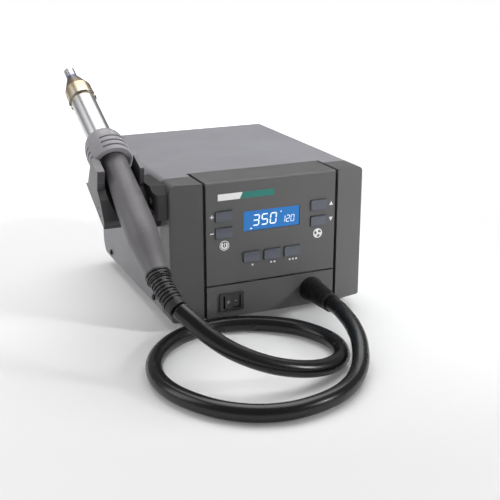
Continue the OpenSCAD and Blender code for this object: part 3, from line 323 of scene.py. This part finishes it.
def dress(names, material, bevel=0.0, angle=30.0):
    """Gives CAD nodes a material, smooth shading across shallow angles, and softened edges."""
    for name in names.split():
        mesh = nodes[name].data
        mesh.materials.clear()
        mesh.materials.append(material)
        for face in mesh.polygons:
            face.material_index = 0
        mesh.shade_smooth()
        mesh.set_sharp_from_angle(angle=math.radians(angle))
        if bevel:
            softened = nodes[name].modifiers.new("soft_edges", "BEVEL")
            softened.width = bevel
            softened.segments = 2
            softened.limit_method = "ANGLE"
            softened.angle_limit = math.radians(angle)
            softened.harden_normals = True


violet_grey = (0.97, 0.97, 1.05)
cover_coat = grained("cover_powder_coat", grey(0.215, violet_grey), grey(0.262, violet_grey), (0.42, 0.52),
                     grain=1800.0, depth=0.00004, mottle=9.0, rub=0.10, rub_tone=1.5)
rear_coat = grained("rear_powder_coat", grey(0.21, violet_grey), grey(0.25, violet_grey), (0.44, 0.56),
                    grain=1800.0, depth=0.00004, mottle=12.0)
tray_zinc = grained("tray_zinc", grey(0.33), grey(0.46), (0.30, 0.45), grain=500.0, depth=0.00001,
                    mottle=60.0, metallic=0.9)
dress("top_cover", cover_coat, 0.0003)
dress("rear_panel", rear_coat)
dress("base_tray", tray_zinc)


# ---- Bezel and centre panels
# Spark-textured grey mouldings. The bezel's two cheeks sweep back at their outer edges, and the
# fascia and the connector panel sit between them behind narrow shadow gaps.

bezel_plastic = grained("bezel_plastic", grey(0.078), grey(0.094), (0.40, 0.50), grain=2200.0,
                        depth=0.00004, mottle=14.0, rub=0.06)
fascia_plastic = grained("fascia_plastic", grey(0.080), grey(0.096), (0.40, 0.50), grain=2200.0,
                         depth=0.00004, mottle=14.0, rub=0.05)
dress("front_bezel", bezel_plastic, 0.0004)
dress("control_fascia connector_panel", fascia_plastic, 0.0003)


# ---- Printed marks
# The white marks beside the buttons and the two-tone stripe above the display are thick silk-screen
# ink on the fascia: a plus, a minus, two arrowheads, dots, and round heat and fan symbols.

fascia_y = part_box("control_fascia")[0].y
ink_height = 0.00008
ink_root = 0.0001


def ink_print(name, faces, y, height, material, body="station"):
    """One raised print from flat faces, each a list of (x, z) points; faces with shared points join."""
    shape = bmesh.new()
    for face in faces:
        shape.faces.new([shape.verts.new((x, y + ink_root, z)) for x, z in face])
    bmesh.ops.remove_doubles(shape, verts=shape.verts, dist=1e-7)
    raised = bmesh.ops.extrude_face_region(shape, geom=shape.faces[:])
    moved = [part for part in raised["geom"] if isinstance(part, bmesh.types.BMVert)]
    bmesh.ops.translate(shape, verts=moved, vec=(0.0, -ink_root - height, 0.0))
    bmesh.ops.recalc_face_normals(shape, faces=shape.faces)
    mesh = bpy.data.meshes.new(name)
    shape.to_mesh(mesh)
    shape.free()
    mesh.materials.append(material)
    piece = new_object(name, mesh)
    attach(piece, body)
    return piece


def bar(x, z, width, height):
    return [(x - width / 2, z - height / 2), (x + width / 2, z - height / 2),
            (x + width / 2, z + height / 2), (x - width / 2, z + height / 2)]


def disc(x, z, radius, sides=32):
    turns = [2 * math.pi * i / sides for i in range(sides)]
    return [(x + radius * math.cos(a), z + radius * math.sin(a)) for a in turns]


def ring(x, z, inner, outer, start=0.0, sweep=360.0, sides=36):
    """A ring or part of one as joined four-sided faces."""
    turns = [math.radians(start + sweep * i / sides) for i in range(sides + 1)]
    rays = [(math.cos(a), math.sin(a)) for a in turns]
    edges = [[(x + radius * u, z + radius * v) for radius in (inner, outer)] for u, v in rays]
    return [[a[0], a[1], b[1], b[0]] for a, b in zip(edges, edges[1:])]


def middle(node):
    """The centre of a CAD node's box."""
    low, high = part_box(node)
    return (low + high) / 2


white_ink = grained("white_ink", grey(0.78), grey(0.86), (0.35, 0.5), depth=0.000005)
plus, minus = middle("button_plus"), middle("button_minus")
up, down = middle("button_up"), middle("button_down")
beside, arm, stroke = 0.0112, 0.0034, 0.0009
marks = [bar(plus.x - beside, plus.z, arm, stroke)]
for side in (-1, 1):
    marks.append(bar(plus.x - beside, plus.z + side * (arm + stroke) / 4, stroke, (arm - stroke) / 2))
marks += [bar(minus.x - beside, minus.z, arm, stroke)]
arrow_half, arrow_beside = 0.0019, 0.0128
for key, tip in ((up, 1), (down, -1)):
    x, z = key.x + arrow_beside, key.z
    marks.append([(x - arrow_half, z - tip * arrow_half), (x + arrow_half, z - tip * arrow_half),
                  (x, z + tip * arrow_half)])
dot_radius, dot_drop, dot_pitch = 0.00095, 0.0083, 0.0033
for count, name in enumerate(("button_preset_1", "button_preset_2", "button_preset_3"), start=1):
    key = middle(name)
    for i in range(count):
        x = key.x + 0.001 + (i - (count - 1) / 2) * dot_pitch
        marks.append(disc(x, key.z - dot_drop, dot_radius, 16))
ink_print("button_marks", marks, fascia_y, ink_height, white_ink)

symbol_radius, symbol_drop = 0.0045, 0.0120
heat_x, fan_x, symbol_z = minus.x + 0.0003, down.x - 0.0003, minus.z - symbol_drop
heat = ring(heat_x, symbol_z, 0.0038, symbol_radius)
heat += ring(heat_x, symbol_z, 0.0017, 0.0032, start=125.0, sweep=290.0)
heat += [bar(heat_x, symbol_z + 0.0009, 0.0008, 0.0036)]
ink_print("heat_symbol", heat, fascia_y, ink_height, white_ink)
ink_print("fan_symbol", [disc(fan_x, symbol_z, symbol_radius, 48)], fascia_y, ink_height, white_ink)
blade_ink = grained("blade_ink", grey(0.10), grey(0.12), (0.4, 0.5), depth=0.000005)
fan_blades = []
for i in range(3):
    start = 120 * i + 20
    inner_arc = [(0.0010, start + 20), (0.0022, start - 4), (0.0033, start - 10)]
    outer_arc = [(0.0036, start + 15), (0.0035, start + 40), (0.0028, start + 55), (0.0016, start + 62)]
    fan_blades.append([(fan_x + r * math.cos(math.radians(a)), symbol_z + r * math.sin(math.radians(a)))
                       for r, a in inner_arc + outer_arc])
ink_print("fan_symbol_blades", fan_blades, fascia_y, ink_height * 1.6, blade_ink)

stripe_left, stripe_right, stripe_low, stripe_high = -0.0515, 0.0017, 0.1187, 0.1245
slant_low, slant_high = -0.0310, -0.0283
stripe_green = grained("stripe_green", (0.006, 0.17, 0.14), (0.012, 0.22, 0.18), (0.3, 0.4), depth=0.000005)
ink_print("stripe_white", [[(stripe_left, stripe_low), (slant_low, stripe_low), (slant_high, stripe_high),
                            (stripe_left, stripe_high)]], fascia_y, ink_height, white_ink)
ink_print("stripe_green", [[(slant_low + 0.0004, stripe_low), (stripe_right, stripe_low),
                            (stripe_right, stripe_high), (slant_high + 0.0004, stripe_high)]],
          fascia_y, ink_height, stripe_green)


# ---- Display
# A blue backlit display behind a glossy window, with white seven-segment figures: the set temperature
# in large ones and the air flow in small ones. Its metal can and its board sit behind the fascia.

window_material, window_shader = new_material("window_blue")
window_shader.inputs["Base Color"].default_value = (0.008, 0.12, 0.36, 1.0)
window_shader.inputs["Emission Color"].default_value = (0.004, 0.16, 0.50, 1.0)
window_shader.inputs["Emission Strength"].default_value = 0.35
window_shader.inputs["Roughness"].default_value = 0.12
dress("lcd_window", window_material)

figure_material, figure_shader = new_material("figure_white")
figure_shader.inputs["Base Color"].default_value = (0.80, 0.90, 1.0, 1.0)
figure_shader.inputs["Emission Color"].default_value = (0.80, 0.90, 1.0, 1.0)
figure_shader.inputs["Emission Strength"].default_value = 0.35
figure_shader.inputs["Roughness"].default_value = 0.3
lit_segments = {"0": "abcdef", "1": "bc", "2": "abged", "3": "abgcd", "5": "afgcd"}
figure_slant = 0.10


def segment_figure(digit, x, z, width, height, stroke):
    """The lit segments of one figure as six-sided faces, with its lower left corner at (x, z)."""
    gap = stroke * 0.12
    half = stroke / 2
    corners = {"a": ((0, 2), (1, 2)), "b": ((1, 1), (1, 2)), "c": ((1, 0), (1, 1)), "d": ((0, 0), (1, 0)),
               "e": ((0, 0), (0, 1)), "f": ((0, 1), (0, 2)), "g": ((0, 1), (1, 1))}
    faces = []
    for name in lit_segments[digit]:
        (u0, v0), (u1, v1) = corners[name]
        start = Vector((half + u0 * (width - stroke), half + v0 * (height - stroke) / 2))
        end = Vector((half + u1 * (width - stroke), half + v1 * (height - stroke) / 2))
        along = (end - start).normalized()
        across = Vector((-along.y, along.x)) * half
        start, end = start + along * gap, end - along * gap
        outline = [start, start + along * half - across, end - along * half - across, end,
                   end - along * half + across, start + along * half + across]
        faces.append([(x + p.x + figure_slant * p.y, z + p.y) for p in outline])
    return faces


window_low, window_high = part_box("lcd_window")
window_mid = (window_low + window_high) / 2
figures = []
figure_foot = window_mid.z - 0.0052
for i, digit in enumerate("350"):
    figures += segment_figure(digit, window_mid.x - 0.0190 + 0.0083 * i, figure_foot, 0.0066, 0.0105, 0.0012)
for i, digit in enumerate("120"):
    figures += segment_figure(digit, window_mid.x + 0.0092 + 0.0045 * i, figure_foot, 0.0036, 0.0064, 0.0006)
figures += ring(window_mid.x + 0.0090, window_mid.z + 0.0052, 0.0004, 0.0007, sides=16)
figures += [[(window_mid.x - 0.0215, window_mid.z - 0.0076), (window_mid.x - 0.0185, window_mid.z - 0.0076),
             (window_mid.x - 0.0200, window_mid.z - 0.0062)]]
ink_print("display_figures", figures, window_low.y, 0.00005, figure_material)
display_metal = grained("display_metal", grey(0.5), grey(0.6), (0.3, 0.4), metallic=1.0)
dress("lcd_module", display_metal)
board_lacquer = grained("board_lacquer", (0.004, 0.06, 0.02), (0.008, 0.10, 0.035), (0.22, 0.34), coat=0.3)
dress("display_board main_board handle_board", board_lacquer)


# ---- Buttons
# Seven dark bluish-grey push buttons with slightly dished faces, moulded in a hard plastic. Each slides
# in its own hole in the fascia, on a stem that presses a switch on the board.

button_plastic = grained("button_plastic", (0.082, 0.088, 0.112), (0.104, 0.112, 0.138), (0.30, 0.40),
                         grain=2200.0, depth=0.00003)
dress("button_plus button_minus button_up button_down button_preset_1 button_preset_2 button_preset_3",
      button_plastic, 0.0004)


# ---- Power switch and gland
# A glossy black snap-in rocker switch, and the black nylon gland that the hose's boot fits on.

switch_plastic = grained("switch_plastic", grey(0.014), grey(0.022), (0.24, 0.32), depth=0.00002, coat=0.2)
gland_nylon = grained("gland_nylon", grey(0.012), grey(0.018), (0.40, 0.50), depth=0.00003)
dress("switch_housing power_rocker tact_switches triac", switch_plastic, 0.0002)
dress("hose_gland gland_nut", gland_nylon)

rocker_pivot = Vector(next(j["pos_m"] for j in frame["joints"] if j["name"] == "power_rocker_tilt"))
rocker_crest, rocker_half, rocker_slope = 0.0036, 0.0076, math.radians(8.0)
rocker_ink = grained("rocker_ink", grey(0.38), grey(0.46), (0.4, 0.5), depth=0.000005)


def rocker_mark(name, faces, side):
    """A mark on one half of the rocker's face, drawn round the origin and moved onto that half."""
    piece = ink_print(name, faces, 0.0, ink_height, rocker_ink, "rocker")
    lean = rocker_slope * (1 - side)
    reach = rocker_half * 0.5
    face_mid = Vector((side * reach, -rocker_crest - reach * math.tan(rocker_slope), 0.0))
    place = rocker_pivot + Matrix.Rotation(rocker_slope, 3, "Z") @ face_mid
    piece.data.transform(Matrix.Translation(place) @ Matrix.Rotation(lean, 4, "Z"))


rocker_mark("rocker_off_mark", ring(0.0, 0.0, 0.0008, 0.0012, sides=20), -1)
rocker_mark("rocker_on_mark", [bar(0.0, 0.0, 0.0024, 0.0004)], 1)
boot_rubber = grained("boot_rubber", grey(0.010), grey(0.018), (0.40, 0.52), grain=1200.0, depth=0.00003)
dress("panel_hose_boot handle_hose_boot", boot_rubber, 0.0004)


# ---- Hand piece
# A matt grey grip of heat-resistant plastic, a lighter slotted collar, and a bright steel tube with
# the heater inside: a wire coil on a ceramic former, wrapped in mica.

warm_grey = (1.02, 0.97, 1.04)
grip_plastic = grained("grip_plastic", grey(0.104, warm_grey), grey(0.138, warm_grey), (0.38, 0.52),
                       grain=2000.0, depth=0.00004, mottle=35.0, rub=0.15, rub_tone=1.6)
collar_plastic = grained("collar_plastic", grey(0.27, warm_grey), grey(0.33, warm_grey), (0.42, 0.54),
                         grain=2000.0, depth=0.00004, mottle=60.0, rub=0.3, rub_tone=1.5)
dress("grip_shell", grip_plastic)
dress("heater_collar", collar_plastic, 0.0003)
# The steel is brushed round the tube, and the heat has tinted it straw, brown and blue at its hot end.
head_axis = Vector(next(j["axis"] for j in frame["joints"] if j["name"] == "nozzle_twist"))
head_rim = Vector(next(j["pos_m"] for j in frame["joints"] if j["name"] == "nozzle_twist"))


def steel(name, tint_from, tint_to, tints):
    """Brushed steel along the heater's axis, tinted by heat between two distances from the collar's rim."""
    material, shader = new_material(name)
    tree, link = material.node_tree.nodes, material.node_tree.links.new
    place, along = tree.new("ShaderNodeTexCoord"), tree.new("ShaderNodeVectorMath")
    along.operation = "DOT_PRODUCT"
    along.inputs[1].default_value = head_axis
    link(place.outputs["Object"], along.inputs[0])
    tinted = tree.new("ShaderNodeMapRange")
    tinted.inputs["From Min"].default_value = head_rim.dot(head_axis) + tint_from
    tinted.inputs["From Max"].default_value = head_rim.dot(head_axis) + tint_to
    link(along.outputs["Value"], tinted.inputs["Value"])
    uneven = tree.new("ShaderNodeTexNoise")
    uneven.inputs["Scale"].default_value = 60.0
    link(place.outputs["Object"], uneven.inputs["Vector"])
    shifted = tree.new("ShaderNodeMath")
    shifted.operation = "MULTIPLY_ADD"
    shifted.inputs[1].default_value = 0.16
    link(uneven.outputs["Fac"], shifted.inputs[0])
    link(tinted.outputs["Result"], shifted.inputs[2])
    ramp = tree.new("ShaderNodeValToRGB")
    ramp.color_ramp.elements.remove(ramp.color_ramp.elements[1])
    for position, color in tints:
        stop = ramp.color_ramp.elements.new(position)
        stop.color = (*color, 1.0)
    ramp.color_ramp.elements.remove(ramp.color_ramp.elements[0])
    link(shifted.outputs["Value"], ramp.inputs["Fac"])
    link(ramp.outputs["Color"], shader.inputs["Base Color"])
    brushing = tree.new("ShaderNodeTexNoise")
    brushing.noise_dimensions = "1D"
    brushing.inputs["Scale"].default_value = 2500.0
    link(along.outputs["Value"], brushing.inputs["W"])
    gloss = tree.new("ShaderNodeMapRange")
    gloss.inputs["To Min"].default_value = 0.26
    gloss.inputs["To Max"].default_value = 0.38
    link(brushing.outputs["Fac"], gloss.inputs["Value"])
    link(gloss.outputs["Result"], shader.inputs["Roughness"])
    bump = tree.new("ShaderNodeBump")
    bump.inputs["Strength"].default_value = 1.0
    bump.inputs["Distance"].default_value = 0.000004
    link(brushing.outputs["Fac"], bump.inputs["Height"])
    link(bump.outputs["Normal"], shader.inputs["Normal"])
    shader.inputs["Metallic"].default_value = 1.0
    return material


plain_steel, straw = (0.48, 0.48, 0.49), (0.50, 0.43, 0.31)
brown, blue = (0.40, 0.30, 0.22), (0.26, 0.28, 0.38)
tube_tints = ((0.0, plain_steel), (0.75, plain_steel), (1.0, straw))
nozzle_tints = ((0.0, plain_steel), (0.30, straw), (0.58, brown), (0.85, blue), (1.0, plain_steel))
dress("heater_tube", steel("tube_steel", 0.030, 0.098, tube_tints))
dress("nozzle", steel("nozzle_steel", 0.080, 0.128, nozzle_tints))
mica = grained("mica", (0.36, 0.28, 0.15), (0.50, 0.41, 0.25), (0.2, 0.4), mottle=120.0)
ceramic = grained("ceramic", (0.72, 0.68, 0.58), (0.82, 0.78, 0.70), (0.5, 0.7))
heater_wire = grained("heater_wire", (0.10, 0.085, 0.075), (0.18, 0.16, 0.14), (0.35, 0.5), metallic=1.0)
magnet_nickel = grained("magnet_nickel", grey(0.45), grey(0.52), (0.15, 0.25), metallic=1.0)
dress("mica_sleeve", mica)
dress("heater_former", ceramic)
dress("heater_coil", heater_wire)
dress("sleep_magnet", magnet_nickel)


# ---- Cradle
# A trough-shaped rest on a bracket, both moulded in dark heat-resistant plastic, with painted light on the
# cradle's outer and upward faces and painted shade in the bracket's near-black. The bracket is screwed
# to the left side of the case, and a reed switch in it feels the magnet in the grip.

cradle_plastic = grained("cradle_plastic", grey(0.050, warm_grey), grey(0.070, warm_grey), (0.36, 0.48),
                         grain=2000.0, depth=0.00004, rub=0.5)
# Painted light: a lighter copy of the cradle's plastic, for the faces that the lamps light most.
cradle_painted_light_plastic = grained("cradle_plastic_painted_light", grey(0.125, warm_grey), grey(0.160, warm_grey), (0.38, 0.50),
                        grain=2000.0, depth=0.00004, rub=0.4)
# The bracket's near-black is partly its own dark plastic and partly painted shade, for the shadow that falls
# between the cradle and the case.
bracket_plastic_and_painted_shade = grained("bracket_plastic_and_painted_shade", grey(0.012), grey(0.020), (0.30, 0.42), grain=2000.0,
                          depth=0.00004)
dress("holder_cradle", cradle_plastic, 0.0006)
dress("holder_bracket", bracket_plastic_and_painted_shade, 0.0012)
# Painted light: the cheeks' outer faces and the upward faces above the case top get the lighter copy of the
# plastic, standing in for the light that falls on them, so they read lighter than the trough.
cradle_mesh = nodes["holder_cradle"].data
cradle_mesh.materials.append(cradle_painted_light_plastic)
outer_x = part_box("holder_cradle")[0].x + 0.001
case_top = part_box("top_cover")[1].z
for face in cradle_mesh.polygons:
    if face.center.x < outer_x or (face.normal.z > 0.6 and face.center.z > case_top):
        face.material_index = 1
screw_black = grained("screw_black", grey(0.020), grey(0.032), (0.3, 0.42), metallic=0.6)
screw_zinc = grained("screw_zinc", grey(0.45), grey(0.55), (0.25, 0.4), metallic=1.0)
dress("holder_screws cover_screws rear_screws", screw_black, 0.0002)
dress("foot_screws", screw_zinc)
reed_glass = grained("reed_glass", (0.30, 0.36, 0.34), (0.38, 0.44, 0.42), (0.08, 0.15))
dress("reed_switch", reed_glass)


# ---- Inside
# The blower stands on rubber mounts at the back, and its silicone duct leads to the gland. The mains
# board stands in front of it on brass pillars, with the transformer, the heat sink and capacitors.

blower_plastic = grained("blower_plastic", grey(0.014), grey(0.022), (0.4, 0.5))
motor_steel = grained("motor_steel", grey(0.35), grey(0.45), (0.3, 0.4), metallic=1.0)
impeller_plastic = grained("impeller_plastic", grey(0.62), grey(0.70), (0.4, 0.5))
duct_silicone = grained("duct_silicone", grey(0.55), grey(0.62), (0.45, 0.6))
brass = grained("brass", (0.52, 0.38, 0.13), (0.62, 0.46, 0.18), (0.25, 0.4), metallic=1.0)
transformer_varnish = grained("transformer_varnish", (0.20, 0.10, 0.03), (0.34, 0.18, 0.06), (0.3, 0.5))
sink_aluminium = grained("sink_aluminium", grey(0.40), grey(0.50), (0.35, 0.5), metallic=1.0)
capacitor_sleeve = grained("capacitor_sleeve", (0.02, 0.03, 0.12), (0.03, 0.045, 0.16), (0.2, 0.3))
inlet_plastic = grained("inlet_plastic", grey(0.010), grey(0.016), (0.42, 0.52))
foot_rubber = grained("foot_rubber", grey(0.010), grey(0.018), (0.6, 0.75))
dress("blower_housing blower_cover", blower_plastic)
dress("blower_motor motor_shaft", motor_steel)
dress("impeller", impeller_plastic)
dress("outlet_duct", duct_silicone)
dress("board_standoffs earth_stud", brass)
dress("transformer", transformer_varnish)
dress("heat_sink", sink_aluminium)
dress("capacitors", capacitor_sleeve)
dress("mains_inlet fuse_holder", inlet_plastic, 0.0003)
dress("foot_front_left foot_front_right foot_rear_left foot_rear_right blower_mounts", foot_rubber, 0.0005)
